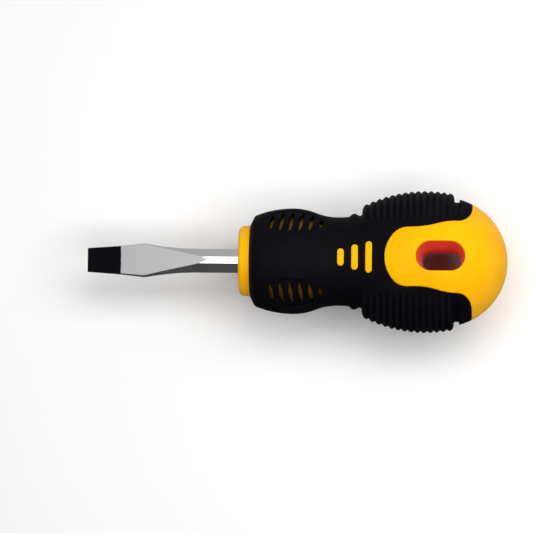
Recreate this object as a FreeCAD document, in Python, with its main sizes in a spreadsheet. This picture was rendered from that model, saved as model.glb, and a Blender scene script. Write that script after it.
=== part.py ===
import FreeCAD, Part
import math
import os

import Sketcher
from FreeCAD import Placement, Rotation, Vector

# Stubby slotted screwdriver with a three-shot moulded handle, in millimetres.
#
# It is modelled in tool coordinates: X runs along the tool from the tip (X = 0) to the butt, Y and Z
# are across it, and the hang hole runs along Z. Each finished sub-part is then placed so that the tool
# lies on Z = 0 with the middle of its footprint at the origin.
#
# The handle is turned about X. The yellow shot is everything inside the grip layer, plus what rises
# through that layer to the outside: the tongues, the window bars and the butt.

# name of the cell, size in mm or degrees, what it is
DIMENSIONS = (
    ("overall_length", 105.0, "tip to butt"),
    ("blade_out", 38.0, "tip to nose of the handle"),
    ("shank_radius", 3.0, "round bar of 6 mm"),
    ("tip_width", 6.0, "slot blade, across"),
    ("tip_thickness", 1.0, "slot blade, through"),
    ("ground_length", 8.4, "hardened and ground end of the tip"),
    ("ground_radius", 3.6, "half width where the ground end stops"),
    ("flare_at", 14.3, "widest place of the forged flare"),
    ("flare_radius", 4.27, "half width of the flare, before its corner is rounded"),
    ("flare_round", 4.0, "rounding of the flare's corner"),
    ("flare_end", 27.4, "where the flare has run into the shank"),
    ("flare_sweep", 70.0, "radius of the hollow from flare to shank"),
    ("wedge_end", 29.7, "where the wedge faces run out on the shank"),
    ("tang_end", 77.0, "end of the bar inside the handle"),
    ("tang_chamfer", 1.0, "chamfer on the end of the bar"),
    ("ear_at", 60.0, "front of the first pair of pressed ears"),
    ("ear_pitch", 10.0, "first pair to second pair"),
    ("ear_length", 5.0, "along the bar"),
    ("ear_reach", 4.2, "half width over the ears"),
    ("ear_thickness", 1.8, "through the ears"),
    ("nose_radius", 8.8, "yellow nose ring"),
    ("nose_length", 2.7, "nose ring in front of the grip"),
    ("nose_round", 1.0, "front edge of the nose ring"),
    ("front_slope", 1.2, "how far the front face of the grip leans back"),
    ("front_round", 0.8, "front corner of the grip"),
    ("front_sweep", 25.0, "barrel curve in front of its peak"),
    ("barrel_at", 51.5, "peak of the front barrel"),
    ("barrel_radius", 13.2, "peak of the front barrel"),
    ("neck_at", 62.7, "narrowest place of the neck"),
    ("neck_radius", 11.05, "narrowest place of the neck"),
    ("butt_radius", 16.2, "rear bulge and the dome of the butt"),
    ("gate_radius", 0.5, "small flat on the butt where the mould was filled"),
    ("grip_depth", 2.0, "thickness of the rubber"),
    ("pad_axis", 4.0, "distance of each side pad's own axis from the tool's axis"),
    ("pad_peak_at", 84.5, "highest place of a side pad"),
    ("pad_peak", 17.77, "rib crests there, from the tool's axis"),
    ("pad_sweep", 33.8, "curve along the rib crests"),
    ("rib_first", 69.6, "first rib"),
    ("rib_pitch", 1.63, "rib to rib"),
    ("rib_height", 0.5, "rib above its grooves"),
    ("bead_at", 66.7, "low bead in front of each pad"),
    ("bead_radius", 0.85, "round section of the bead"),
    ("bead_top", 12.0, "crest of the bead, from the tool's axis"),
    ("relief_end", 93.0, "end of the hollow behind each pad"),
    ("relief_radius", 14.9, "bottom of that hollow, from the tool's axis"),
    ("relief_axis", 2.0, "its own axis is this far on the other side"),
    ("bar_first", 63.7, "first window bar"),
    ("bar_pitch", 3.5, "bar to bar"),
    ("bar_width", 1.7, "along the tool"),
    ("tongue_front", 74.65, "front of the yellow tongue"),
    ("tongue_nose", 5.7, "length of its rounded nose"),
    ("tongue_corner", 4.7, "corners of its nose"),
    ("tongue_half", 7.46, "half width of its straight part"),
    ("tongue_straight_end", 82.3, "end of its straight part"),
    ("tongue_wide_at", 92.7, "where it is widest before it turns out"),
    ("tongue_wide_half", 9.0, "half width there"),
    ("tail_round", 3.5, "corner between tongue and dome; the grip ends at its far side"),
    ("hole_at", 88.6, "middle of the hang hole"),
    ("hole_length", 12.3, "mouth, along the tool"),
    ("hole_width", 7.4, "mouth, across"),
    ("hole_draft", 5.0, "degrees that each wall leans in to the middle"),
    ("core_front", 44.0, "front of the red first shot"),
    ("core_back", 98.5, "back of the red first shot"),
    ("core_radius", 7.0, "red first shot"),
    ("core_round", 1.5, "its end corners"),
    ("lip_depth", 0.9, "yellow lip over the red wall at the mouth of the hang hole"),
    ("boss_wall", 1.2, "red wall around the mouth of the hang hole"),
    ("slit_pitch", 2.44, "slit to slit"),
    ("slit_first", 46.45, "first slit"),
    ("slit_half_width", 0.5, "half the width of a slit"),
    ("slit_middle", 51.6, "where the lens of slits is longest"),
    ("slit_reach", 7.7, "half the length of the lens of slits"),
    ("slit_half_length", 3.4, "half the longest slit"),
    ("slit_shift", 7.0, "middle of each slit, towards the side of the tool"),
    ("slit_slant", 7.5, "degrees that the outer ends lean to the butt"),
    ("slit_angle", 12.0, "degrees from Z to the direction that a group of slits is cut in"),
)

RIBS = 14
SLITS = 6
BAR_LENGTHS = (4.4, 6.4, 7.9)
REACH = "20"            # longer than any radius of the tool, for cutters
SIDES = (1, -1)

# The tool lies on the long edges of the hang hole's mouth, at the widest place of the handle.
AXIS_HEIGHT = "sqrt(Dim.butt_radius ^ 2 - (Dim.hole_width / 2) ^ 2)"

doc = FreeCAD.newDocument("stubby_screwdriver")
sheet = doc.addObject("Spreadsheet::Sheet", "Dim")


def fill_sheet():
    """Write each driving dimension in its own row, with its name as the alias."""
    for row, (alias, size, meaning) in enumerate(DIMENSIONS, start=1):
        sheet.set(f"A{row}", meaning)
        sheet.set(f"B{row}", str(size))
        sheet.setAlias(f"B{row}", alias)
    doc.recompute()


def value(expression):
    """What an expression of the sheet's cells comes to, as a plain number."""
    result = sheet.evalExpression(expression)
    return float(getattr(result, "Value", result))


# ---------------------------------------------------------------- sketch helpers

def arc_between(start, stop, radius, side):
    """The short arc from start to stop. side 1 bulges to the left of the way there, -1 to the right."""
    chord = stop - start
    across = Vector(-chord.y, chord.x, 0).normalize()
    depth = math.sqrt(radius ** 2 - (chord.Length / 2) ** 2)
    centre = (start + stop) * 0.5 - across * (side * depth)
    first, last = (stop, start) if side > 0 else (start, stop)
    from_angle = math.atan2(first.y - centre.y, first.x - centre.x)
    to_angle = math.atan2(last.y - centre.y, last.x - centre.x)
    if to_angle < from_angle:
        to_angle += 2 * math.pi
    return Part.ArcOfCircle(Part.Circle(centre, Vector(0, 0, 1), radius), from_angle, to_angle)


def hold(sketch, edge, end, x, y):
    """Fix one end of an edge at (x, y), both expressions of the sheet's cells."""
    for kind, axis, expression in (("DistanceX", -2, x), ("DistanceY", -1, y)):
        if expression == "0":
            sketch.addConstraint(Sketcher.Constraint("PointOnObject", edge, end, axis))
            continue
        rule = Sketcher.Constraint(kind, -1, 1, edge, end, value(expression))
        number = sketch.addConstraint(rule)
        sketch.setExpression(f"Constraints[{number}]", expression)


def outline(sketch, path):
    """Draw a closed outline. Each stop of the path is (x, y, bend), all expressions: bend is None where
    a straight edge leaves the stop, or (radius, side) where an arc does."""
    spots = [Vector(value(x), value(y), 0) for x, y, bend in path]
    edges = []
    for (x, y, bend), start, stop in zip(path, spots, spots[1:] + spots[:1]):
        if bend is None:
            shape = Part.LineSegment(start, stop)
        else:
            shape = arc_between(start, stop, value(bend[0]), bend[1])
        number = sketch.addGeometry(shape, False)
        forward = (sketch.Geometry[number].StartPoint - start).Length < 1e-6
        edges.append((number, 1, 2) if forward else (number, 2, 1))
        if bend is not None:
            rule = sketch.addConstraint(Sketcher.Constraint("Radius", number, value(bend[0])))
            sketch.setExpression(f"Constraints[{rule}]", bend[0])
    for place, (x, y, bend) in enumerate(path):
        number, first, last = edges[place]
        before = edges[place - 1]
        sketch.addConstraint(Sketcher.Constraint("Coincident", before[0], before[2], number, first))
        hold(sketch, number, first, x, y)


def body_sketch(body, name, role="XY_Plane"):
    """A sketch on one of the body's own origin planes."""
    sketch = body.newObject("Sketcher::SketchObject", name)
    plane = next(feature for feature in body.Origin.OriginFeatures if feature.Role == role)
    sketch.AttachmentSupport = (plane, [""])
    sketch.MapMode = "FlatFace"
    return sketch


def turned(name, path, axis_y="0"):
    """A body turned about a line along X. The path gives distances from that line."""
    body = doc.addObject("PartDesign::Body", name)
    sketch = body_sketch(body, name + "_outline")
    sketch.setExpression("AttachmentOffset.Base.y", axis_y)
    outline(sketch, path)
    turn = body.newObject("PartDesign::Revolution", name + "_turn")
    turn.Profile = sketch
    turn.ReferenceAxis = (sketch, ["H_Axis"])
    turn.Angle = 360
    return body


def prism(name, paths, half_height=REACH):
    """Flat outlines in the XY plane, run the same way up and down."""
    sketch = doc.addObject("Sketcher::SketchObject", name + "_outline")
    for path in paths:
        outline(sketch, path)
    solid = doc.addObject("Part::Extrusion", name)
    solid.Base = sketch
    solid.DirMode = "Normal"
    solid.Solid = True
    solid.setExpression("LengthFwd", half_height)
    solid.setExpression("LengthRev", half_height)
    return solid


def round_off(body, feature, x, radius, size):
    """Round the circular edge of a turned feature that lies at x with the given radius."""
    doc.recompute()
    for number, edge in enumerate(feature.Shape.Edges, start=1):
        curve = edge.Curve
        if not isinstance(curve, Part.Circle) or abs(curve.Radius - value(radius)) > 1e-4:
            continue
        if abs(curve.Center.x - value(x)) < 1e-4:
            fillet = body.newObject("PartDesign::Fillet", body.Name + "_round")
            fillet.Base = (feature, [f"Edge{number}"])
            fillet.setExpression("Radius", size)
            return
    raise RuntimeError("no edge to round on " + body.Name)


def join(name, parts):
    """One solid made of several."""
    fuse = doc.addObject("Part::MultiFuse", name)
    fuse.Shapes = parts
    return fuse


def common(name, parts):
    """What several solids share."""
    shared = doc.addObject("Part::MultiCommon", name)
    shared.Shapes = parts
    return shared


def cut(name, base, tool):
    """One solid less another."""
    rest = doc.addObject("Part::Cut", name)
    rest.Base = base
    rest.Tool = tool
    return rest


def s_bend(start_x, start_y, end_x, end_y):
    """Radius of the two equal arcs that join two level stretches."""
    run = f"({end_x} - {start_x})"
    rise = f"({end_y} - {start_y})"
    return f"({run} ^ 2 + {rise} ^ 2) / (4 * abs({rise}))"


def slot_path(middle_x, half_x, half_y):
    """A slot with fully rounded ends, longer along Y than along X. Each end is two quarter arcs."""
    quarter = (half_x, 1)
    left = f"{middle_x} - {half_x}"
    right = f"{middle_x} + {half_x}"
    shoulder = f"{half_y} - {half_x}"
    return (
        (left, f"-({shoulder})", None),
        (left, shoulder, quarter),
        (middle_x, half_y, quarter),
        (right, shoulder, None),
        (right, f"-({shoulder})", quarter),
        (middle_x, f"-({half_y})", quarter),
    )


def long_slot_path(middle_x, half_x, half_y):
    """A slot with fully rounded ends, longer along X than along Y."""
    quarter = (half_y, 1)
    front = f"{middle_x} - ({half_x}) + ({half_y})"
    back = f"{middle_x} + ({half_x}) - ({half_y})"
    return (
        (front, half_y, None),
        (back, half_y, quarter),
        (f"{middle_x} + ({half_x})", "0", quarter),
        (back, f"-({half_y})", None),
        (front, f"-({half_y})", quarter),
        (f"{middle_x} - ({half_x})", "0", quarter),
    )


# ---------------------------------------------------------------- blade

def make_blade():
    """Forged bar: slot tip, wedge, flare and shank, with a tang and two pairs of pressed ears."""
    path = (
        ("0", "0", None),
        ("0", "Dim.tip_width / 2", None),
        ("Dim.ground_length", "Dim.ground_radius", None),
        ("Dim.flare_at", "Dim.flare_radius", ("Dim.flare_sweep", -1)),
        ("Dim.flare_end", "Dim.shank_radius", None),
        ("Dim.tang_end - Dim.tang_chamfer", "Dim.shank_radius", None),
        ("Dim.tang_end", "Dim.shank_radius - Dim.tang_chamfer", None),
        ("Dim.tang_end", "0", None),
    )
    body = turned("blade_bar", path)
    round_off(body, body.Tip, "Dim.flare_at", "Dim.flare_radius", "Dim.flare_round")

    past = 2.0
    slope = "(Dim.shank_radius - Dim.tip_thickness / 2) / Dim.wedge_end"
    wedge = body_sketch(body, "wedge_outline", "XZ_Plane")
    outline(wedge, (
        (f"-{past}", f"Dim.tip_thickness / 2 - {past} * {slope}", None),
        (f"-{past}", REACH, None),
        ("Dim.blade_out", REACH, None),
        ("Dim.blade_out", f"Dim.tip_thickness / 2 + Dim.blade_out * {slope}", None),
    ))
    upper = body.newObject("PartDesign::Pocket", "wedge_upper")
    upper.Profile = wedge
    upper.Type = "ThroughAll"
    upper.Midplane = True
    lower = body.newObject("PartDesign::Mirrored", "wedge_lower")
    lower.Originals = [upper]
    mirror = next(plane for plane in body.Origin.OriginFeatures if plane.Role == "XY_Plane")
    lower.MirrorPlane = (mirror, [""])
    body.Tip = lower

    ears = body_sketch(body, "ear_outline")
    for pair in range(2):
        front = f"Dim.ear_at + {pair} * Dim.ear_pitch"
        ramp = "(Dim.ear_reach - Dim.shank_radius)"
        back = f"{front} + Dim.ear_length"
        outline(ears, (
            (front, "Dim.shank_radius / 2", None),
            (f"{front} + {ramp}", "Dim.ear_reach", None),
            (f"{back} - {ramp}", "Dim.ear_reach", None),
            (back, "Dim.shank_radius / 2", None),
            (back, "-Dim.shank_radius / 2", None),
            (f"{back} - {ramp}", "-Dim.ear_reach", None),
            (f"{front} + {ramp}", "-Dim.ear_reach", None),
            (front, "-Dim.shank_radius / 2", None),
        ))
    pad = body.newObject("PartDesign::Pad", "ears")
    pad.Profile = ears
    pad.Midplane = True
    pad.setExpression("Length", "Dim.ear_thickness")
    body.Tip = pad
    return body


# ---------------------------------------------------------------- handle shapes

def handle_path(depth):
    """Half outline of the handle behind the nose ring, drawn in by a depth."""
    front = f"Dim.blade_out + Dim.nose_length + {depth}"
    corner = f"{front} + Dim.front_slope"
    barrel = f"Dim.barrel_radius - {depth}"
    neck = f"Dim.neck_radius - {depth}"
    butt = f"Dim.butt_radius - {depth}"
    butt_at = "Dim.overall_length - sqrt(Dim.butt_radius ^ 2 - Dim.gate_radius ^ 2)"
    dome_end = f"{butt_at} + sqrt(({butt}) ^ 2 - Dim.gate_radius ^ 2)"
    sweep = "Dim.front_sweep"
    corner_drop = f"({sweep} - sqrt({sweep} ^ 2 - (Dim.barrel_at - ({corner})) ^ 2))"
    waist = s_bend("Dim.barrel_at", "Dim.barrel_radius", "Dim.neck_at", "Dim.neck_radius")
    swell = s_bend("Dim.neck_at", "Dim.neck_radius", f"({butt_at})", "Dim.butt_radius")
    return (
        (front, "0", None),
        (front, "Dim.nose_radius", None),
        (corner, f"{barrel} - {corner_drop}", (sweep, 1)),
        ("Dim.barrel_at", barrel, (waist, 1)),
        ("(Dim.barrel_at + Dim.neck_at) / 2", f"({barrel} + {neck}) / 2", (waist, -1)),
        ("Dim.neck_at", neck, (swell, -1)),
        (f"(Dim.neck_at + {butt_at}) / 2", f"({neck} + {butt}) / 2", (swell, 1)),
        (butt_at, butt, (butt, 1)),
        (dome_end, "Dim.gate_radius", None),
        (dome_end, "0", None),
    )


def make_nose():
    """Yellow ring in front of the grip. It runs back to the front of the yellow floor."""
    back = "Dim.blade_out + Dim.nose_length + Dim.grip_depth"
    return turned("nose_ring", (
        ("Dim.blade_out", "0", None),
        ("Dim.blade_out", "Dim.nose_radius - Dim.nose_round", ("Dim.nose_round", 1)),
        ("Dim.blade_out + Dim.nose_round", "Dim.nose_radius", None),
        (back, "Dim.nose_radius", None),
        (back, "0", None),
    ))


def make_tongue():
    """Yellow area seen along Z: a blunt tongue that widens, turns out and takes in the whole butt."""
    nose = "Dim.tongue_nose"
    corner = "Dim.tongue_corner"
    half = "Dim.tongue_half"
    blunt = f"({nose} ^ 2 + ({half} - {corner}) ^ 2 - {corner} ^ 2) / (2 * ({nose} - {corner}))"
    scale = f"({blunt}) / (({blunt}) - {corner})"
    blunt_x = f"Dim.tongue_front + ({blunt}) + ({nose} - ({blunt})) * {scale}"
    blunt_y = f"({half} - {corner}) * {scale}"
    straight = "Dim.tongue_straight_end"
    wide = "Dim.tongue_wide_at"
    flare = s_bend(straight, half, wide, "Dim.tongue_wide_half")
    tail = f"{wide} + Dim.tail_round"
    path = (
        (f"Dim.tongue_front + {nose}", half, None),
        (straight, half, (flare, 1)),
        (f"({straight} + {wide}) / 2", f"({half} + Dim.tongue_wide_half) / 2", (flare, -1)),
        (wide, "Dim.tongue_wide_half", ("Dim.tail_round", 1)),
        (tail, "Dim.tongue_wide_half + Dim.tail_round", None),
        (tail, REACH, None),
        (f"Dim.overall_length + {REACH}", REACH, None),
        (f"Dim.overall_length + {REACH}", f"-{REACH}", None),
        (tail, f"-{REACH}", None),
        (tail, "-(Dim.tongue_wide_half + Dim.tail_round)", ("Dim.tail_round", 1)),
        (wide, "-Dim.tongue_wide_half", (flare, -1)),
        (f"({straight} + {wide}) / 2", f"-({half} + Dim.tongue_wide_half) / 2", (flare, 1)),
        (straight, f"-{half}", None),
        (f"Dim.tongue_front + {nose}", f"-{half}", (corner, 1)),
        (blunt_x, f"-({blunt_y})", (blunt, 1)),
        ("Dim.tongue_front", "0", (blunt, 1)),
        (blunt_x, blunt_y, (corner, 1)),
    )
    return prism("tongue", [path])


def make_bars():
    """Yellow window bars across the neck, on both faces."""
    paths = []
    for number, length in enumerate(BAR_LENGTHS):
        middle = f"Dim.bar_first + {number} * Dim.bar_pitch"
        paths.append(slot_path(middle, "Dim.bar_width / 2", f"{length} / 2"))
    return prism("window_bars", paths)


def make_pad(side):
    """Ribbed side pad, turned about its own axis so that its ribs fade into the handle."""
    sweep = "Dim.pad_sweep"

    def valley(stop):
        drop = f"({sweep} - sqrt({sweep} ^ 2 - ({stop} - Dim.pad_peak_at) ^ 2))"
        return f"Dim.pad_peak - Dim.pad_axis - Dim.rib_height - {drop}"

    rib_round = "(Dim.rib_pitch ^ 2 / 4 + Dim.rib_height ^ 2) / (2 * Dim.rib_height)"
    stops = [f"Dim.rib_first + ({number} - 0.5) * Dim.rib_pitch" for number in range(RIBS + 1)]
    path = [(stops[0], "0", None)]
    for stop in stops[:-1]:
        path.append((stop, valley(stop), (rib_round, 1)))
    path.append((stops[-1], valley(stops[-1]), None))
    path.append((stops[-1], "0", None))
    return turned("pad_right" if side > 0 else "pad_left", path, f"{side} * Dim.pad_axis")


def make_bead(side):
    """Low bead in front of a pad. It fades out like the ribs do."""
    bead = doc.addObject("Part::Torus", "bead")
    bead.setExpression("Radius1", "Dim.bead_top - Dim.bead_radius - Dim.pad_axis")
    bead.setExpression("Radius2", "Dim.bead_radius")
    centre = Vector(value("Dim.bead_at"), side * value("Dim.pad_axis"), 0)
    bead.Placement = Placement(centre, Rotation(Vector(0, 0, 1), Vector(1, 0, 0)))
    return bead


def make_relief(side):
    """Cutter for the shallow hollow behind a pad. It starts under the pad's last rib."""
    front = f"Dim.rib_first + ({RIBS} - 1) * Dim.rib_pitch"
    floor = "Dim.relief_radius + Dim.relief_axis"
    return turned("relief_right" if side > 0 else "relief_left", (
        (front, floor, None),
        (front, REACH, None),
        ("Dim.relief_end", REACH, None),
        ("Dim.relief_end", floor, None),
    ), f"{-side} * Dim.relief_axis")


def make_slits():
    """Cutters for the slanted slits: one group drawn on its own tilted plane, then mirrored to four."""
    sketch = doc.addObject("Sketcher::SketchObject", "slit_outline")
    half_width = "Dim.slit_half_width"
    for number in range(SLITS):
        middle = f"(Dim.slit_first + {number} * Dim.slit_pitch)"
        lens = f"sqrt(1 - (({middle} - Dim.slit_middle) / Dim.slit_reach) ^ 2)"
        half = f"(Dim.slit_half_length * {lens})"
        lean = f"{half} * tan(Dim.slit_slant)"
        half_chord = f"({half} / cos(Dim.slit_slant))"
        bend = (f"({half_chord} ^ 2 + {half_width} ^ 2) / (2 * {half_width})", 1)
        outline(sketch, (
            (f"{middle} - {lean}", f"Dim.slit_shift - {half}", bend),
            (f"{middle} + {lean}", f"Dim.slit_shift + {half}", bend),
        ))
    angle = value("Dim.slit_angle")
    sketch.Placement = Placement(Vector(), Rotation(Vector(1, 0, 0), -angle))
    group = doc.addObject("Part::Extrusion", "slit_group")
    group.Base = sketch
    group.DirMode = "Normal"
    group.Solid = True
    group.setExpression("LengthFwd", REACH)
    groups = [group]
    for name, normal in (("slit_mirror_y", Vector(0, 1, 0)), ("slit_mirror_z", Vector(0, 0, 1))):
        for source in list(groups):
            copy = doc.addObject("Part::Mirroring", name)
            copy.Source = source
            copy.Normal = normal
            groups.append(copy)
    slits = doc.addObject("Part::Compound", "slits")
    slits.Links = groups
    return slits


def make_hole():
    """Cutter for the hang hole: a slot that narrows from each face to the middle of the handle."""
    waist = "Dim.hole_width / 2 - " + AXIS_HEIGHT + " * tan(Dim.hole_draft)"
    waist_long = "Dim.hole_length / 2 - " + AXIS_HEIGHT + " * tan(Dim.hole_draft)"
    hole = prism("hang_hole", [long_slot_path("Dim.hole_at", waist_long, waist)])
    hole.setExpression("TaperAngle", "Dim.hole_draft")
    hole.setExpression("TaperAngleRev", "Dim.hole_draft")
    return hole


def make_core_blank():
    """Red first shot before the bar and the hang hole are taken out of it."""
    front = "Dim.core_front"
    back = "Dim.core_back"
    bend = ("Dim.core_round", 1)
    side = "Dim.core_radius - Dim.core_round"
    rod = turned("core_rod", (
        (front, "0", None),
        (front, side, bend),
        (f"{front} + Dim.core_round", "Dim.core_radius", None),
        (f"{back} - Dim.core_round", "Dim.core_radius", bend),
        (back, side, None),
        (back, "0", None),
    ))
    half_long = "Dim.hole_length / 2 + Dim.boss_wall"
    half_wide = "Dim.hole_width / 2 + Dim.boss_wall"
    column = prism("boss_column", [long_slot_path("Dim.hole_at", half_long, half_wide)])
    cap = turned("boss_cap", handle_path("Dim.lip_depth"))
    boss = common("boss", [column, cap])
    return join("core_blank", [rod, boss])


def make_handle(blade):
    """The three moulded shots, cut from the same turned shapes so that they meet face to face."""
    outside = turned("envelope", handle_path("0"))
    corner = "Dim.blade_out + Dim.nose_length + Dim.front_slope"
    sweep = "Dim.front_sweep"
    corner_radius = (f"Dim.barrel_radius - ({sweep} - sqrt({sweep} ^ 2"
                     f" - (Dim.barrel_at - ({corner})) ^ 2))")
    round_off(outside, outside.Tip, corner, corner_radius, "Dim.front_round")

    nose = make_nose()
    floor = turned("yellow_floor", handle_path("Dim.grip_depth"))
    yellow = join("yellow_zone", [floor, nose, make_tongue(), make_bars()])
    hole = make_hole()
    core_blank = make_core_blank()

    relieved = cut("relieved", outside, join("reliefs", [make_relief(side) for side in SIDES]))
    pads = [make_pad(side) for side in SIDES]
    beads = [make_bead(side) for side in SIDES]
    padded = join("padded", [relieved] + pads + beads)
    rubber = cut("rubber", padded, yellow)
    grip = cut("grip", rubber, make_slits())

    yellow_solid = join("yellow_solid", [common("yellow_rear", [outside, yellow]), nose])
    inside = join("inside", [core_blank, hole, blade])
    handle_body = cut("handle_body", yellow_solid, inside)
    inner_core = cut("inner_core", core_blank, join("core_cutter", [hole, blade]))
    return [inner_core, handle_body, grip]


def lay_down(part):
    """Put a finished sub-part where it lies in the frame of the whole tool."""
    part.setExpression("Placement.Base.x", "-Dim.overall_length / 2")
    part.setExpression("Placement.Base.z", AXIS_HEIGHT)


def check_model(parts):
    """Stop if any object has failed, or any sub-part is missing, broken or in several pieces."""
    for item in doc.Objects:
        if {"Invalid", "Error"} & set(item.State):
            raise RuntimeError(f"{item.Name} failed: {item.State}")
    for part in parts:
        shape = part.Shape
        if shape.isNull() or not shape.isValid():
            raise RuntimeError(f"{part.Label} has no valid shape")
        if len(shape.Solids) != 1:
            raise RuntimeError(f"{part.Label} has {len(shape.Solids)} solids")


def main():
    """Build the four sub-parts, check them and write one STEP file for each."""
    fill_sheet()
    blade_form = make_blade()
    handle = make_handle(blade_form)
    # the bar's own body stays in tool coordinates, because the handle is cut with it
    blade = doc.addObject("Part::Compound", "blade_part")
    blade.Links = [blade_form]
    parts = [blade] + handle
    for part, label in zip(parts, ("blade", "inner_core", "handle_body", "grip")):
        part.Label = label
        lay_down(part)
    doc.recompute()
    check_model(parts)
    os.makedirs("parts", exist_ok=True)
    for part in parts:
        part.Shape.exportStep(f"parts/{part.Label}.step")
        box = part.Shape.optimalBoundingBox()
        print(f"{part.Label}: {part.Shape.Volume:.1f} mm3, X {box.XMin:.3f} {box.XMax:.3f},"
              f" Y {box.YMin:.3f} {box.YMax:.3f}, Z {box.ZMin:.3f} {box.ZMax:.3f}")


main()
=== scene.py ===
import math

import bpy
import numpy as np
from mathutils import Matrix, Vector


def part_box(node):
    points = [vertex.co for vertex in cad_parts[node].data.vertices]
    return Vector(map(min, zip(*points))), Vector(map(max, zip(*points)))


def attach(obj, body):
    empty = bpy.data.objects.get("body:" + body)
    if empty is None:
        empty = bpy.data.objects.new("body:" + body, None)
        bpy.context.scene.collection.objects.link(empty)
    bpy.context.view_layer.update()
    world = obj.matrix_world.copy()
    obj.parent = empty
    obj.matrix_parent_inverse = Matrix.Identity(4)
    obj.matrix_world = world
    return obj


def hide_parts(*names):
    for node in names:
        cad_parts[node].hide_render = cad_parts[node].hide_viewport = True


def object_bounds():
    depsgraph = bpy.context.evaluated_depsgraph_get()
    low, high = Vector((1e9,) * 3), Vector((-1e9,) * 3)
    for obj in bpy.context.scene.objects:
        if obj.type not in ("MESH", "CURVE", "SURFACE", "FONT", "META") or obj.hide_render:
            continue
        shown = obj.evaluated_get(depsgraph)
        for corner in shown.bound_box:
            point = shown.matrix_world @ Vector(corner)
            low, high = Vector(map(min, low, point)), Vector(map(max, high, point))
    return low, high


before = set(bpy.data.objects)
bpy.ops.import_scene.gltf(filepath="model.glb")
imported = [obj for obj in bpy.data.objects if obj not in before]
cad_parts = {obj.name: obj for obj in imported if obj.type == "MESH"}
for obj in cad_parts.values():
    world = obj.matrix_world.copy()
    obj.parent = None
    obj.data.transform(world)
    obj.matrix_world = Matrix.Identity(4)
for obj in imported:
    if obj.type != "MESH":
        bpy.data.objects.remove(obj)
cad_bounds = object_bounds()

# ---------------------------------------------------------------- measures of the tool
# Shapes are worked out in the tool's own millimetres: "along" runs from the tip (0) to the butt,
# "side" and "up" are measured from the tool's axis.

MM = 0.001
LOW, HIGH = cad_bounds
TIP_X = LOW[0]
AXIS_Z = (LOW[2] + HIGH[2]) / 2
LENGTH = (HIGH[0] - LOW[0]) / MM
BLADE_OUT = (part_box("handle_body")[0].x - TIP_X) / MM

# yellow nose ring, and the front face and front curve of the grip behind it
NOSE_LENGTH, NOSE_RADIUS, NOSE_ROUND = 2.7, 8.8, 1.6
FRONT_SLOPE, FRONT_SWEEP, FRONT_REACH, FRONT_ROUND = 1.2, 25.0, 12.0, 0.35

# turned outline of the handle: barrel, neck and domed butt
BARREL_AT, BARREL_RADIUS = 51.5, 13.2
NECK_AT, NECK_RADIUS = 62.7, 11.05
BUTT_RADIUS, GATE_RADIUS = 16.2, 0.5
BUTT_AT = LENGTH - math.sqrt(BUTT_RADIUS ** 2 - GATE_RADIUS ** 2)

# thickness of the rubber, and how soft its edge against the yellow is
GRIP_DEPTH, SEAM_ROUND = 2.0, 0.3

# ribbed pad on each side, with a bead before it and a hollow behind it
PAD_AXIS, PAD_PEAK_AT, PAD_PEAK, PAD_SWEEP = 4.0, 84.5, 17.77, 33.8
PAD_ROUND, PAD_BLEND = 0.3, 0.6
RIB_FIRST, RIB_PITCH, RIB_HEIGHT, RIB_VALLEY, RIBS = 69.6, 1.63, 0.55, 0.12, 14
RIB_INNER, RIB_FULL = 8.6, 10.4
PAD_START = RIB_FIRST - RIB_PITCH / 2
PAD_END = PAD_START + RIBS * RIB_PITCH
BEAD_AT, BEAD_RADIUS, BEAD_TOP, BEAD_BLEND = 66.7, 0.85, 12.0, 0.8
RELIEF_END, RELIEF_RADIUS, RELIEF_AXIS, RELIEF_ROUND = 93.0, 14.9, 2.0, 0.2

# window bars, and the outline of the tongue and butt
BAR_FIRST, BAR_PITCH, BAR_WIDTH, BAR_LENGTHS = 63.7, 3.5, 1.7, (4.4, 6.4, 7.9)
TONGUE_FRONT, TONGUE_NOSE, TONGUE_CORNER, TONGUE_HALF = 74.65, 5.7, 4.7, 7.46
TONGUE_STRAIGHT_END, TONGUE_WIDE_AT, TONGUE_WIDE_HALF, TAIL_ROUND = 82.3, 92.7, 9.0, 3.5

# hang hole, the red wall around it, and the red core
HOLE_AT, HOLE_LENGTH, HOLE_WIDTH, HOLE_DRAFT = 88.6, 12.3, 7.4, math.radians(5)
LIP_DEPTH, LIP_ROUND, BOSS_WALL = 0.9, 0.6, 1.2
CORE_FRONT, CORE_BACK, CORE_RADIUS = 44.0, 98.5, 7.0

# slits, the sunken panel around each group of them, and the painted shade on their floor
SLIT_FIRST, SLIT_PITCH, SLITS, SLIT_HALF_WIDTH = 46.45, 2.44, 6, 0.5
SLIT_MIDDLE, SLIT_REACH, SLIT_HALF_LENGTH, SLIT_SHIFT = 51.6, 7.7, 3.4, 7.0
SLIT_SLANT, SLIT_ANGLE = math.radians(7.5), math.radians(12)
SLIT_FLOOR, SLIT_ROUND = 2.0, 0.22
SCOOP_DEPTH, SCOOP_REACH, SCOOP_HALF, SCOOP_EDGE = 0.35, 8.2, 4.2, 0.3
SLIT_SHADE_FROM, SLIT_SHADE_TO = 43.5, 60.0

# blade: shank, end of the tang, end of the wedge faces and end of the black tip
SHANK_RADIUS, TANG_END, WEDGE_END, BLUED_END, BLUED_FADE = 3.0, 77.0, 30.0, 8.55, 0.08


# ---------------------------------------------------------------- distance fields

def soft_max(a, b, width):
    """The larger of two fields, with their crease rounded over a width."""
    near = np.maximum(width - np.abs(a - b), 0) / width
    return np.maximum(a, b) + near * near * width / 4


def soft_min(a, b, width):
    """The smaller of two fields, with their crease rounded over a width."""
    return -soft_max(-a, -b, width)


def smooth_step(value, low, high):
    t = np.clip((value - low) / (high - low), 0, 1)
    return t * t * (3 - 2 * t)


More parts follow.
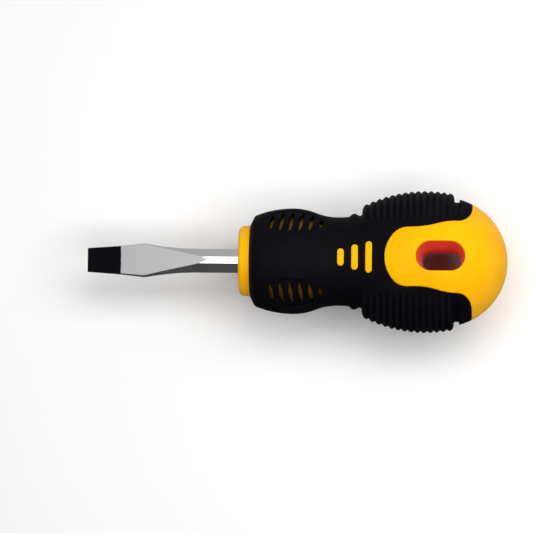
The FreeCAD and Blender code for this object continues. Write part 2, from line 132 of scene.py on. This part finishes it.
def s_bend(along, start, start_height, end, end_height):
    """Height and slope of the two equal arcs that join two level stretches."""
    run, rise = end - start, end_height - start_height
    radius = (run ** 2 + rise ** 2) / (4 * abs(rise))
    middle = (start + end) / 2
    sign = math.copysign(1, rise)
    first = np.clip(along, start, middle) - start
    last = end - np.clip(along, middle, end)
    early = start_height + sign * (radius - np.sqrt(radius ** 2 - first ** 2))
    late = end_height - sign * (radius - np.sqrt(radius ** 2 - last ** 2))
    height = np.where(along < middle, early, late)
    slope = sign * np.where(along < middle, first, last) / radius
    return height, slope


def handle_radius(along):
    """Radius of the handle's turned outside and the sine of its slope."""
    ahead = np.clip(along, BARREL_AT - FRONT_REACH, BARREL_AT) - BARREL_AT
    front = BARREL_RADIUS - FRONT_SWEEP + np.sqrt(FRONT_SWEEP ** 2 - ahead ** 2)
    waist, waist_slope = s_bend(along, BARREL_AT, BARREL_RADIUS, NECK_AT, NECK_RADIUS)
    swell, swell_slope = s_bend(along, NECK_AT, NECK_RADIUS, BUTT_AT, BUTT_RADIUS)
    radius = np.where(along < BARREL_AT, front, np.where(along < NECK_AT, waist, swell))
    slope = np.where(along < BARREL_AT, -ahead / FRONT_SWEEP,
                     np.where(along < NECK_AT, waist_slope, swell_slope))
    return radius, slope


def envelope(along, across, inset):
    """Distance from the turned outside of the handle, drawn in by inset. across is the radius."""
    radius, slope = handle_radius(along)
    barrel = (across - radius + inset) * np.sqrt(1 - slope ** 2)
    dome = np.sqrt((along - BUTT_AT) ** 2 + across ** 2) - (BUTT_RADIUS - inset)
    body = np.where(along < BUTT_AT, barrel, dome)
    corner_at = BLADE_OUT + NOSE_LENGTH + FRONT_SLOPE
    corner_radius = handle_radius(np.array(corner_at))[0]
    lean = math.hypot(FRONT_SLOPE, corner_radius - NOSE_RADIUS)
    steep = (corner_radius - NOSE_RADIUS) / lean
    shallow = FRONT_SLOPE / lean
    face_at = BLADE_OUT + NOSE_LENGTH + inset
    face = (face_at - along) * steep + (across - NOSE_RADIUS) * shallow
    return soft_max(body, face, FRONT_ROUND)


def rib_depth(along):
    """How far the pad's surface lies under its crests: round ribs with narrow round valleys."""
    turn = math.pi * (along - RIB_FIRST) / RIB_PITCH
    wave = np.sqrt(np.cos(turn) ** 2 + RIB_VALLEY ** 2) - RIB_VALLEY
    return RIB_HEIGHT * (1 - wave / (math.sqrt(1 + RIB_VALLEY ** 2) - RIB_VALLEY))


def slit_place(side, up):
    """Distance out from the axis the way the slits are cut, and across it from their middle line."""
    out = side * math.sin(SLIT_ANGLE) + up * math.cos(SLIT_ANGLE)
    skin = side * math.cos(SLIT_ANGLE) - up * math.sin(SLIT_ANGLE) - SLIT_SHIFT
    return out, skin


def slits(along, side, up):
    """Distance from the nearest slit: slanted lenses that run in from the surface."""
    out, skin = slit_place(side, up)
    nearest = np.inf
    for number in range(SLITS):
        middle = SLIT_FIRST + number * SLIT_PITCH
        half = SLIT_HALF_LENGTH * math.sqrt(1 - ((middle - SLIT_MIDDLE) / SLIT_REACH) ** 2)
        lengthwise = skin * math.cos(SLIT_SLANT) + (along - middle) * math.sin(SLIT_SLANT)
        crosswise = (along - middle) * math.cos(SLIT_SLANT) - skin * math.sin(SLIT_SLANT)
        radius = (half ** 2 + SLIT_HALF_WIDTH ** 2) / (2 * SLIT_HALF_WIDTH)
        lens = np.hypot(np.abs(crosswise) + radius - SLIT_HALF_WIDTH, lengthwise) - radius
        nearest = np.minimum(nearest, lens)
    return np.maximum(nearest, SLIT_FLOOR - out)


def tongue(along, side):
    """Distance from the outline of the yellow tongue and butt, seen along the hang hole."""
    blunt = ((TONGUE_NOSE ** 2 + (TONGUE_HALF - TONGUE_CORNER) ** 2 - TONGUE_CORNER ** 2)
             / (2 * (TONGUE_NOSE - TONGUE_CORNER)))
    blunt_at = TONGUE_FRONT + blunt
    corner_at = TONGUE_FRONT + TONGUE_NOSE
    corner_side = TONGUE_HALF - TONGUE_CORNER
    width, slope = s_bend(along, TONGUE_STRAIGHT_END, TONGUE_HALF, TONGUE_WIDE_AT, TONGUE_WIDE_HALF)
    edge = (side - width) * np.sqrt(1 - slope ** 2)
    tail_at = TONGUE_WIDE_AT + TAIL_ROUND
    edge = np.minimum(edge, tail_at - along)
    nose = np.hypot(along - blunt_at, side) - blunt
    corner = np.hypot(along - corner_at, side - corner_side) - TONGUE_CORNER
    turn = math.atan2(corner_side, blunt_at - corner_at)
    nose_part = np.where(np.arctan2(side, blunt_at - along) < turn, nose, corner)
    tail_side = TONGUE_WIDE_HALF + TAIL_ROUND
    tail = np.where(side > tail_side, tail_at - along,
                    TAIL_ROUND - np.hypot(along - TONGUE_WIDE_AT, side - tail_side))
    return np.where(along < corner_at, nose_part, np.where(along < TONGUE_WIDE_AT, edge, tail))


def window_bars(along, side):
    """Distance from the nearest window bar."""
    half_width = BAR_WIDTH / 2
    bars = [np.hypot(along - BAR_FIRST - number * BAR_PITCH,
                     np.maximum(side - length / 2 + half_width, 0)) - half_width
            for number, length in enumerate(BAR_LENGTHS)]
    return np.minimum.reduce(bars)


def long_slot(along, side, half_length, half_width):
    """Distance from a slot with round ends around the middle of the hang hole."""
    return np.hypot(np.maximum(np.abs(along - HOLE_AT) - (half_length - half_width), 0), side) - half_width


def hang_hole(along, side, up):
    """Distance from the hang hole, which narrows to the middle of the handle."""
    height = (HIGH[2] - LOW[2]) / 2 / MM
    lean = (height - up) * math.tan(HOLE_DRAFT)
    reach = (HOLE_LENGTH - HOLE_WIDTH) / 2
    end = np.hypot(np.maximum(np.abs(along - HOLE_AT) - reach, 0), side)
    return (end - HOLE_WIDTH / 2 + lean) * math.cos(HOLE_DRAFT)


def yellow_zone(along, side, across):
    """Distance from all that the yellow shot fills: floor, nose, tongues, butt and window bars."""
    windows = np.minimum(tongue(along, side), window_bars(along, side))
    floor = envelope(along, across, GRIP_DEPTH)
    nose = np.maximum(across - NOSE_RADIUS, along - BLADE_OUT - NOSE_LENGTH - GRIP_DEPTH)
    return np.minimum(np.minimum(windows, floor), nose)


def grip_field(along, side, up):
    """Distance from the rubber grip."""
    side, up = np.abs(side), np.abs(up)
    across = np.hypot(side, up)
    out, skin = slit_place(side, up)
    spread = 1 - ((along - SLIT_MIDDLE) / SCOOP_REACH) ** 2 - (skin / SCOOP_HALF) ** 2
    scoop = SCOOP_DEPTH * smooth_step(spread, 0, SCOOP_EDGE)
    base = envelope(along, across, 0) + scoop
    relief_out = np.hypot(side + RELIEF_AXIS, up)
    relief = np.maximum(RELIEF_RADIUS + RELIEF_AXIS - relief_out,
                        np.maximum(PAD_END - RIB_PITCH - along, along - RELIEF_END))
    base = soft_max(base, -relief, RELIEF_ROUND)
    pad_out = np.hypot(side - PAD_AXIS, up)
    ahead = np.clip(along, PAD_START - 1, PAD_END + 1) - PAD_PEAK_AT
    crest = PAD_PEAK - PAD_AXIS - PAD_SWEEP + np.sqrt(PAD_SWEEP ** 2 - ahead ** 2)
    ribs = rib_depth(along) * smooth_step(side, RIB_INNER, RIB_FULL)
    pad = soft_max(pad_out - crest + ribs, np.maximum(PAD_START - along, along - PAD_END), PAD_ROUND)
    bead = np.hypot(pad_out - (BEAD_TOP - BEAD_RADIUS - PAD_AXIS), along - BEAD_AT) - BEAD_RADIUS
    outside = soft_min(soft_min(base, pad, PAD_BLEND), bead, BEAD_BLEND)
    rubber = soft_max(outside, -yellow_zone(along, side, across), SEAM_ROUND)
    return soft_max(rubber, -slits(along, side, up), SLIT_ROUND)


def boss_field(along, side, across):
    """Distance from the red wall around the hang hole."""
    column = long_slot(along, side, HOLE_LENGTH / 2 + BOSS_WALL, HOLE_WIDTH / 2 + BOSS_WALL)
    return np.maximum(column, envelope(along, across, LIP_DEPTH))


def body_field(along, side, up):
    """Distance from the yellow handle body."""
    side, up = np.abs(side), np.abs(up)
    across = np.hypot(side, up)
    solid = soft_max(envelope(along, across, 0), yellow_zone(along, side, across), SEAM_ROUND)
    nose_length = along - BLADE_OUT - NOSE_LENGTH - GRIP_DEPTH
    nose = np.maximum(soft_max(across - NOSE_RADIUS, BLADE_OUT - along, NOSE_ROUND), nose_length)
    solid = np.minimum(solid, nose)
    solid = soft_max(solid, -hang_hole(along, side, up), LIP_ROUND)
    core = np.maximum(across - CORE_RADIUS, np.maximum(CORE_FRONT - along, along - CORE_BACK))
    inside = np.minimum(core, boss_field(along, side, across))
    bar = np.maximum(across - SHANK_RADIUS, along - TANG_END)
    return np.maximum(solid, -np.minimum(inside, bar))


# ---------------------------------------------------------------- meshes from distance fields

# The grid's cell and its uneven start, which keeps grid planes off the flat faces, in millimetres.
CELL, GRID_SHIFT, MOST_TRIANGLES = 0.25, 0.013, 190000
# Room around the box, spacing of a slope's samples and longest move of a point, in cells.
MARGIN, PROBE, DRAW_REACH = 1.5, 0.15, 0.5
DRAW_PASSES, LEAST_SLOPE = 4, 0.05


def corner_points(crossing, axis, low, ahead, behind):
    """Where the surface crosses the grid's edges along one axis, and the grid index of each edge."""
    index = np.argwhere(crossing)
    share = ahead[crossing] / (ahead[crossing] - behind[crossing])
    points = low + CELL * index
    points[:, axis] += CELL * share
    return index, points


def surface_net(field, low, high):
    """Points and quads of the surface where a field is zero: one point for each grid cell that the
    surface passes through, drawn onto the surface."""
    low = np.array(low, float)
    counts = np.ceil((np.array(high) - low) / CELL).astype(int) + 1
    lines = [low[axis] + CELL * np.arange(counts[axis]) for axis in range(3)]
    grid = field(*np.meshgrid(*lines, indexing="ij", sparse=True))
    cells = counts - 1
    total = np.zeros((cells.prod(), 3))
    hits = np.zeros(cells.prod())
    quads = []
    for axis in range(3):
        first, second = (axis + 1) % 3, (axis + 2) % 3
        ahead = np.take(grid, range(counts[axis] - 1), axis)
        behind = np.take(grid, range(1, counts[axis]), axis)
        crossing = (ahead < 0) != (behind < 0)
        index, points = corner_points(crossing, axis, low, ahead, behind)
        around = []
        for step_first, step_second in ((-1, -1), (0, -1), (0, 0), (-1, 0)):
            place = index.copy()
            place[:, first] += step_first
            place[:, second] += step_second
            flat = np.ravel_multi_index(place.T, cells, mode="clip")
            around.append(flat)
            for part in range(3):
                total[:, part] += np.bincount(flat, points[:, part], cells.prod())
            hits += np.bincount(flat, minlength=cells.prod())
        around = np.stack(around, axis=1)
        outward = ahead[crossing] < 0
        quads.append(np.where(outward[:, None], around, around[:, ::-1]))
    used = hits > 0
    number = np.cumsum(used) - 1
    points = total[used] / hits[used][:, None]
    quads = number[np.concatenate(quads)]
    tiny = 1e-9
    for _ in range(DRAW_PASSES):
        slope, value = gradient(field, points)
        step = slope * (value / np.maximum((slope ** 2).sum(1), LEAST_SLOPE))[:, None]
        length = np.linalg.norm(step, axis=1)
        points = points - step * np.minimum(1, DRAW_REACH * CELL / np.maximum(length, tiny))[:, None]
    return points, quads


def gradient(field, points):
    """Slope and value of a field at some points."""
    reach = PROBE * CELL
    slope = np.empty_like(points)
    for axis in range(3):
        shift = np.zeros(3)
        shift[axis] = reach
        slope[:, axis] = (field(*(points + shift).T) - field(*(points - shift).T)) / (2 * reach)
    return slope, field(*points.T)


def thin_out(mesh):
    """Collapse a mesh to the most triangles allowed, keeping the smallest where it bends most."""
    triangles = sum(len(face.vertices) - 2 for face in mesh.polygons)
    holder = bpy.data.objects.new("holder", mesh)
    bpy.context.scene.collection.objects.link(holder)
    modifier = holder.modifiers.new("thin_out", "DECIMATE")
    modifier.ratio = min(1, MOST_TRIANGLES / triangles)
    depsgraph = bpy.context.evaluated_depsgraph_get()
    thin = bpy.data.meshes.new_from_object(holder.evaluated_get(depsgraph))
    bpy.data.objects.remove(holder)
    return thin


def unit(slope):
    """Vectors of length one."""
    return slope / np.linalg.norm(slope, axis=1)[:, None]


def place_mesh(mesh, field, offset):
    """Move a mesh from the tool's millimetres to the frame's metres, shaded by its field's slope."""
    places = np.empty(3 * len(mesh.vertices), np.float32)
    mesh.vertices.foreach_get("co", places)
    points = places.reshape(-1, 3).astype(float)
    normals = unit(gradient(field, points)[0])
    mesh.vertices.foreach_set("co", (points * MM + offset).astype(np.float32).ravel())
    mesh.polygons.foreach_set("use_smooth", [True] * len(mesh.polygons))
    mesh.normals_split_custom_set_from_vertices(normals.tolist())


def field_piece(name, field, node):
    """A mesh piece from a distance field, filling the box of the CAD node that it stands for."""
    low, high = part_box(node)
    margin = MARGIN * CELL
    offset = np.array([TIP_X, 0, AXIS_Z])
    low = (np.array(low) - offset) / MM - margin
    high = (np.array(high) - offset) / MM + margin
    points, quads = surface_net(field, low + GRID_SHIFT, high)
    mesh = bpy.data.meshes.new(name)
    mesh.from_pydata(points.tolist(), [], quads.tolist())
    mesh.validate()
    mesh = thin_out(mesh)
    place_mesh(mesh, field, offset)
    mesh.name = name
    piece = bpy.data.objects.new(name, mesh)
    bpy.context.scene.collection.objects.link(piece)
    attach(piece, "root")
    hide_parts(node)
    return piece


# ---------------------------------------------------------------- materials
# The part of a noise's range that is spread over the whole of a mix: wide for fine grain, and
# leaning high for patches, so that the first tone of a mix covers more.

GRAIN_SPAN, PATCH_SPAN = (0.3, 0.7), (0.35, 0.7)


def new_material(name):
    """An empty node material: its tree, its shader and its object coordinates."""
    material = bpy.data.materials.new(name)
    material.use_nodes = True
    tree = material.node_tree
    shader = tree.nodes["Principled BSDF"]
    place = tree.nodes.new("ShaderNodeTexCoord").outputs["Object"]
    return material, tree, shader, place


def add_noise(tree, place, scale, detail=4.0, roughness=0.5):
    noise = tree.nodes.new("ShaderNodeTexNoise")
    noise.inputs["Scale"].default_value = scale
    noise.inputs["Detail"].default_value = detail
    noise.inputs["Roughness"].default_value = roughness
    tree.links.new(place, noise.inputs["Vector"])
    return noise.outputs["Fac"]


def add_range(tree, value, low, high, to_low, to_high):
    """Map a value from one range to another, held at its ends."""
    node = tree.nodes.new("ShaderNodeMapRange")
    for name, size in (("From Min", low), ("From Max", high), ("To Min", to_low), ("To Max", to_high)):
        node.inputs[name].default_value = size
    tree.links.new(value, node.inputs["Value"])
    return node.outputs["Result"]


def add_blend(tree, share, first, second):
    """Mix two colours, each a tuple or a socket, by a share."""
    node = tree.nodes.new("ShaderNodeMix")
    node.data_type = "RGBA"
    tree.links.new(share, node.inputs["Factor"])
    for name, colour in (("A", first), ("B", second)):
        socket = next(s for s in node.inputs if s.name == name and s.type == "RGBA")
        if isinstance(colour, tuple):
            socket.default_value = (*colour, 1)
        else:
            tree.links.new(colour, socket)
    return next(s for s in node.outputs if s.type == "RGBA")


def add_math(tree, operation, *values):
    """A math node on sockets or plain numbers."""
    node = tree.nodes.new("ShaderNodeMath")
    node.operation = operation
    for socket, value in zip(node.inputs, values):
        if isinstance(value, (int, float)):
            socket.default_value = value
        else:
            tree.links.new(value, socket)
    return node.outputs[0]


def add_axes(tree, vector):
    """The three parts of a vector."""
    split = tree.nodes.new("ShaderNodeSeparateXYZ")
    tree.links.new(vector, split.inputs[0])
    return split.outputs


def add_stretch(tree, place_x, start, end):
    """One along the tool between two places in the tool's millimetres, and nothing outside them."""
    fade = 0.2 * MM
    low, high = TIP_X + start * MM, TIP_X + end * MM
    return add_math(tree, "MULTIPLY", add_range(tree, place_x, low - fade, low, 0.0, 1.0),
                    add_range(tree, place_x, high, high + fade, 1.0, 0.0))


def add_bump(tree, shader, height, distance):
    bump = tree.nodes.new("ShaderNodeBump")
    bump.inputs["Distance"].default_value = distance
    tree.links.new(height, bump.inputs["Height"])
    tree.links.new(bump.outputs["Normal"], shader.inputs["Normal"])


def plastic(name, colour, deep, gloss_tint, roughness):
    """Moulded polypropylene: faint flow mottling, a fine orange-peel skin and a little scatter."""
    material, tree, shader, place = new_material(name)
    mottle = add_range(tree, add_noise(tree, place, 160.0, 3.0), *PATCH_SPAN, 0.0, 1.0)
    tree.links.new(add_blend(tree, mottle, colour, deep), shader.inputs["Base Color"])
    skin = add_noise(tree, place, 2600.0, 3.0)
    smoothest, roughest = roughness - 0.05, roughness + 0.06
    tree.links.new(add_range(tree, skin, *GRAIN_SPAN, smoothest, roughest), shader.inputs["Roughness"])
    add_bump(tree, shader, skin, 0.012 * MM)
    shader.inputs["IOR"].default_value = 1.49
    shader.inputs["Specular IOR Level"].default_value = 0.10
    shader.inputs["Specular Tint"].default_value = (*gloss_tint, 1)
    shader.inputs["Subsurface Weight"].default_value = 0.1
    shader.inputs["Subsurface Radius"].default_value = (1.0, 0.45, 0.1)
    shader.inputs["Subsurface Scale"].default_value = 1.2 * MM
    return material


def paint_slit_shade(material):
    """Paint shade onto the yellow floor of the slits: a dark olive-brown band along the tool under the grip
    that stands in for the shade deep inside the slits.
    """
    tree = material.node_tree
    shader = tree.nodes["Principled BSDF"]
    place = tree.nodes["Texture Coordinate"].outputs["Object"]
    under = add_stretch(tree, add_axes(tree, place)["X"], SLIT_SHADE_FROM, SLIT_SHADE_TO)
    patches = add_range(tree, add_noise(tree, place, 700.0, 3.0), *PATCH_SPAN, 0.0, 1.0)
    # painted shade: dark olive-brown tones in place of the yellow, standing in for the shade deep in the
    # slits
    painted_shade = add_blend(tree, patches, (0.15, 0.084, 0.010), (0.29, 0.140, 0.015))
    clean = shader.inputs["Base Color"].links[0].from_socket
    tree.links.new(add_blend(tree, under, clean, painted_shade), shader.inputs["Base Color"])


def rib_crests(tree, place):
    """One along the crests of the pads' ribs, fading to nothing in their valleys and off the pads."""
    axes = add_axes(tree, place)
    past_first = add_math(tree, "SUBTRACT", axes["X"], TIP_X + RIB_FIRST * MM)
    phase = add_math(tree, "MULTIPLY", past_first, math.pi / (RIB_PITCH * MM))
    wave = add_math(tree, "ABSOLUTE", add_math(tree, "COSINE", phase))
    crest = add_range(tree, wave, 0.55, 0.95, 0.0, 1.0)
    out = add_math(tree, "ABSOLUTE", axes["Y"])
    side = add_range(tree, out, RIB_INNER * MM, RIB_FULL * MM, 0.0, 1.0)
    on_pad = add_stretch(tree, axes["X"], PAD_START, PAD_END)
    return add_math(tree, "MULTIPLY", crest, add_math(tree, "MULTIPLY", side, on_pad))


def rubber():
    """Black moulded TPR: matt spark-eroded grain, with the crests of the ribs rubbed smoother and painted
    paler as a highlight.
    """
    material, tree, shader, place = new_material("black_rubber")
    tone = add_range(tree, add_noise(tree, place, 220.0, 4.0), *PATCH_SPAN, 0.0, 1.0)
    base = add_blend(tree, tone, (0.0017, 0.0013, 0.0023), (0.0027, 0.0021, 0.0038))
    crest_wear_and_highlight = rib_crests(tree, place)
    # painted highlight: the ribs' crests get a paler colour so that they read as lit; their lower roughness
    # is real wear
    tree.links.new(add_blend(tree, crest_wear_and_highlight, base, (0.0042, 0.0035, 0.0058)), shader.inputs["Base Color"])
    grain = add_noise(tree, place, 5200.0, 4.0, 0.6)
    rough = add_range(tree, grain, *GRAIN_SPAN, 0.52, 0.72)
    smoother = add_math(tree, "MULTIPLY", crest_wear_and_highlight, 0.1)
    tree.links.new(add_math(tree, "SUBTRACT", rough, smoother), shader.inputs["Roughness"])
    add_bump(tree, shader, grain, 0.05 * MM)
    shader.inputs["Specular IOR Level"].default_value = 0.05
    return material


def blade_steel():
    """Plated bar. Its round parts are bright, its wedge faces are ground across, and the end of the
    tip is blued black. They are told apart by place along the bar and by which way a face lies."""
    material, tree, shader, place = new_material("blade_steel")
    place_x = add_axes(tree, place)["X"]
    facing = add_axes(tree, tree.nodes.new("ShaderNodeNewGeometry").outputs["True Normal"])
    # the wedge faces lie nearly level, and the round bar only along its crest
    upright = add_range(tree, add_math(tree, "ABSOLUTE", facing["Z"]), 0.990, 0.996, 0.0, 1.0)
    ground = add_math(tree, "MULTIPLY", upright, add_stretch(tree, place_x, 0.0, WEDGE_END))

    stretch = tree.nodes.new("ShaderNodeMapping")
    stretch.inputs["Scale"].default_value = (1.0, 0.03, 1.0)
    tree.links.new(place, stretch.inputs["Vector"])
    scratches = add_noise(tree, stretch.outputs["Vector"], 9000.0, 3.0, 0.6)

    wobble = add_noise(tree, place, 900.0, 3.0)
    ragged = add_math(tree, "ADD", place_x, add_math(tree, "MULTIPLY", wobble, 0.3 * MM))
    blued_end, fade = TIP_X + BLUED_END * MM, BLUED_FADE * MM
    blued = add_range(tree, ragged, blued_end - fade, blued_end + fade, 1.0, 0.0)

    bright = (0.80, 0.81, 0.83)
    ground_tone = add_blend(tree, scratches, (0.30, 0.30, 0.303), (0.34, 0.34, 0.343))
    metal = add_blend(tree, ground, bright, ground_tone)
    oxide = add_blend(tree, wobble, (0.0020, 0.0019, 0.0032), (0.0042, 0.0040, 0.0060))
    tree.links.new(add_blend(tree, blued, metal, oxide), shader.inputs["Base Color"])
    bare = add_math(tree, "SUBTRACT", 1.0, blued)
    metal_rough = add_range(tree, ground, 0.0, 1.0, 0.09, 0.38)
    rough = add_math(tree, "ADD", add_math(tree, "MULTIPLY", metal_rough, bare),
                     add_math(tree, "MULTIPLY", blued, 0.5))
    tree.links.new(rough, shader.inputs["Roughness"])
    tree.links.new(bare, shader.inputs["Metallic"])
    add_bump(tree, shader, add_math(tree, "MULTIPLY", scratches, ground), 0.004 * MM)
    shader.inputs["Specular IOR Level"].default_value = 0.015
    return material


def floor_material():
    """Pale matt board with a barely uneven tone."""
    material, tree, shader, place = new_material("floor")
    tone = add_noise(tree, place, 9.0, 2.0)
    tree.links.new(add_blend(tree, tone, (0.84, 0.84, 0.84), (0.87, 0.87, 0.87)),
                   shader.inputs["Base Color"])
    shader.inputs["Roughness"].default_value = 0.9
    shader.inputs["Specular IOR Level"].default_value = 0.1
    return material


def dress(piece, material):
    """Give a whole piece one material."""
    piece.data.materials.clear()
    piece.data.materials.append(material)


# ---------------------------------------------------------------- pieces

grip = field_piece("rubber_grip", grip_field, "grip")
dress(grip, rubber())
body = field_piece("yellow_body", body_field, "handle_body")
yellow = plastic("yellow_plastic", (0.91, 0.435, 0.002), (0.87, 0.40, 0.002),
                 gloss_tint=(1.0, 0.8, 0.35), roughness=0.36)
# paints shade onto the floor of the slits, under the grip
paint_slit_shade(yellow)
dress(body, yellow)
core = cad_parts["inner_core"]
red = plastic("red_plastic", (0.92, 0.115, 0.062), (0.86, 0.10, 0.056),
              gloss_tint=(1.0, 1.0, 1.0), roughness=0.4)
dress(core, red)
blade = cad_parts["blade"]
dress(blade, blade_steel())


# ---------------------------------------------------------------- floor, camera and light

def add_floor():
    """A wide board, a hair under the tool so that the two never share a plane."""
    half, drop = 1.5, 0.05 * MM
    mesh = bpy.data.meshes.new("floor")
    corners = [(-half, -half, 0), (half, -half, 0), (half, half, 0), (-half, half, 0)]
    mesh.from_pydata(corners, [], [(0, 1, 2, 3)])
    floor = bpy.data.objects.new("floor", mesh)
    bpy.context.scene.collection.objects.link(floor)
    floor.location.z = -drop
    dress(floor, floor_material())
    # left out of reflections, so that the underside of the chrome stays dark
    floor.visible_glossy = False


def add_camera():
    """A long lens looking down at the tool, a little from its -Y side and from the butt."""
    back = Vector((0.052, -0.105, 0.993)).normalized()
    level = (Vector((1, 0, 0)) - back * back.x).normalized()
    above = back.cross(level)
    roll = math.radians(0.36)
    right = level * math.cos(roll) + above * math.sin(roll)
    top = back.cross(right)
    distance, view_width = 1.4, 0.13325
    aim_left, aim_below = 0.0077, 0.0013
    aim = Vector((0, 0, AXIS_Z)) - right * aim_left - top * aim_below
    data = bpy.data.cameras.new("camera")
    data.sensor_width = 36.0
    data.lens = data.sensor_width * distance / view_width
    data.clip_start = 0.05
    data.clip_end = 10
    camera = bpy.data.objects.new("camera", data)
    bpy.context.scene.collection.objects.link(camera)
    turn = Matrix((right, top, back)).transposed().to_4x4()
    camera.matrix_world = Matrix.Translation(aim + back * distance) @ turn
    bpy.context.scene.camera = camera


def add_panel(name, left, right, near, far, watts_per_area):
    """A soft rectangular light that shines straight down on the tool."""
    height = 0.30
    width, depth = right - left, far - near
    data = bpy.data.lights.new(name, "AREA")
    data.shape = "RECTANGLE"
    data.size = width
    data.size_y = depth
    data.energy = watts_per_area * width * depth
    panel = bpy.data.objects.new(name, data)
    bpy.context.scene.collection.objects.link(panel)
    panel.location = ((left + right) / 2, (near + far) / 2, height)


def add_light():
    """Panels over the tool: bright ones over the shank and handle, with a gap over the hang hole that
    keeps the inside of the hole dark, and a weaker one that the blade's faces reflect."""
    bright, weak = 12.5, 3.0
    near, far = -0.17, 0.19
    left, over_blade, right = -0.46, -0.06, 0.32
    gap_near, gap_far = -0.085, 0.045
    gap_left, gap_right = -0.022, 0.12
    add_panel("key_back", over_blade, right, gap_far, far, bright)
    add_panel("key_front", over_blade, right, near, gap_near, bright)
    add_panel("key_left", over_blade, gap_left, gap_near, gap_far, bright)
    add_panel("key_right", gap_right, right, gap_near, gap_far, bright)
    add_panel("blade_panel", left, over_blade, near, far, weak)


def add_world():
    """A studio with a pale wall on its +Y side and a dark one on the other."""
    world = bpy.data.worlds.new("studio")
    world.use_nodes = True
    tree = world.node_tree
    sky = add_axes(tree, tree.nodes.new("ShaderNodeTexCoord").outputs["Generated"])
    dark_end, pale_end = -0.15, 0.35
    dark, pale = 0.07, 0.45
    level = add_range(tree, sky["Y"], dark_end, pale_end, dark, pale)
    back = tree.nodes["Background"]
    back.inputs["Color"].default_value = (1, 1, 1, 1)
    tree.links.new(level, back.inputs["Strength"])
    bpy.context.scene.world = world


add_floor()
add_camera()
add_light()
add_world()
bpy.context.scene.view_settings.view_transform = "Standard"
